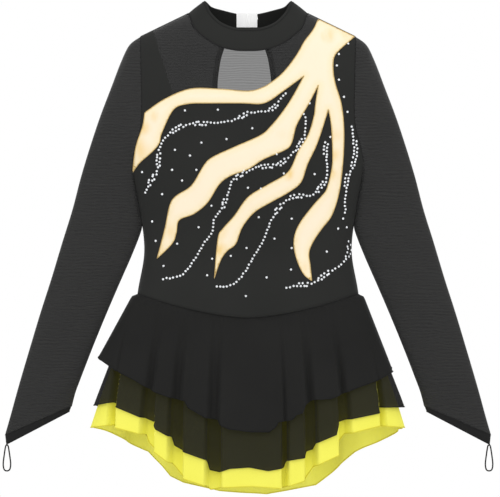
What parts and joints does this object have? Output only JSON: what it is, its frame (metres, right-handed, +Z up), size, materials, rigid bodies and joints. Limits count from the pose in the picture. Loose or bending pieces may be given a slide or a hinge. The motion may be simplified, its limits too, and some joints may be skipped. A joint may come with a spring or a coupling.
{
  "type": "cheer uniform",
  "caption": "Long-sleeved stretch cheer dress with sheer yoke and sleeves, flame applique, crystal trails, back keyhole with a snap tab, and a flared layered skirt over a built-in brief",
  "frame": {"origin": "inside the neck opening, on the centre line, level with the top of the centre front collar; the neck and shoulders hold the garment up there", "axes": "+Z up, -Y out of the front of the garment, +X towards the wearer's left sleeve"},
  "size_m": [0.6872, 0.124, 0.6921],
  "materials": {
    "bodice_cloth": "matt stretch knit",
    "trim": "matt elastic binding",
    "sheer_mesh": "sheer stretch mesh",
    "chiffon": "sheer crisp chiffon",
    "yellow_chiffon": "bright yellow chiffon with a soft sheen",
    "flame_foil": "cream foil cloth with gold edges",
    "crystal": "faceted glass stones on a clear glue film",
    "snap_metal": "nickel-finished press snaps",
    "label_cloth": "blank white woven label"
  },
  "bodies": {
    "garment": {"bodice_front": "bodice_cloth", "bodice_back": "bodice_cloth", "yoke_front": "sheer_mesh", "yoke_back": "sheer_mesh", "keyhole_binding": "trim", "collar": "bodice_cloth", "snap_stud_upper": "snap_metal", "snap_stud_lower": "snap_metal", "flame_applique": "flame_foil", "rhinestone_trail_1": "crystal", "rhinestone_trail_2": "crystal", "rhinestone_trail_3": "crystal", "rhinestone_trail_4": "crystal", "rhinestone_trail_5": "crystal", "skirt_tier_top": "chiffon", "skirt_tier_middle": "chiffon", "skirt_tier_bottom": "yellow_chiffon", "brief_front": "bodice_cloth", "brief_back": "bodice_cloth", "brief_gusset": "bodice_cloth", "leg_elastic_left": "trim", "leg_elastic_right": "trim"},
    "sleeve_left": {"sleeve_left": "sheer_mesh", "cuff_hem_left": "trim"},
    "sleeve_right": {"sleeve_right": "sheer_mesh", "cuff_hem_right": "trim"},
    "finger_loop_left": {"finger_loop_left": "trim"},
    "finger_loop_right": {"finger_loop_right": "trim"},
    "collar_tab": {"collar_tab": "bodice_cloth", "snap_cap_upper": "snap_metal", "snap_cap_lower": "snap_metal"},
    "neck_label": {"neck_label": "label_cloth"}
  },
  "joints": [
    {"name": "sleeve_left_raise", "type": "hinge", "parent": "garment", "child": "sleeve_left", "pos_m": [-0.15, 0, -0.012], "axis": [0, 1, 0], "range_deg": [0, 45]},
    {"name": "sleeve_right_raise", "type": "hinge", "parent": "garment", "child": "sleeve_right", "pos_m": [0.15, 0, -0.012], "axis": [0, -1, 0], "range_deg": [0, 45]},
    {"name": "finger_loop_left_swing", "type": "hinge", "parent": "sleeve_left", "child": "finger_loop_left", "pos_m": [-0.3375, 0, -0.5857], "axis": [1, 0, 0], "range_deg": [-60, 60]},
    {"name": "finger_loop_right_swing", "type": "hinge", "parent": "sleeve_right", "child": "finger_loop_right", "pos_m": [0.3375, 0, -0.5857], "axis": [1, 0, 0], "range_deg": [-60, 60]},
    {"name": "collar_tab_open", "type": "hinge", "parent": "garment", "child": "collar_tab", "pos_m": [0.02, 0.02738, 0.00362], "axis": [0, 0.307, -0.9517], "range_deg": [0, 100]},
    {"name": "neck_label_lift", "type": "hinge", "parent": "garment", "child": "neck_label", "pos_m": [-0.0015, 0.01849, 0.02207], "axis": [-1, 0, 0], "range_deg": [0, 80]}
  ]
}
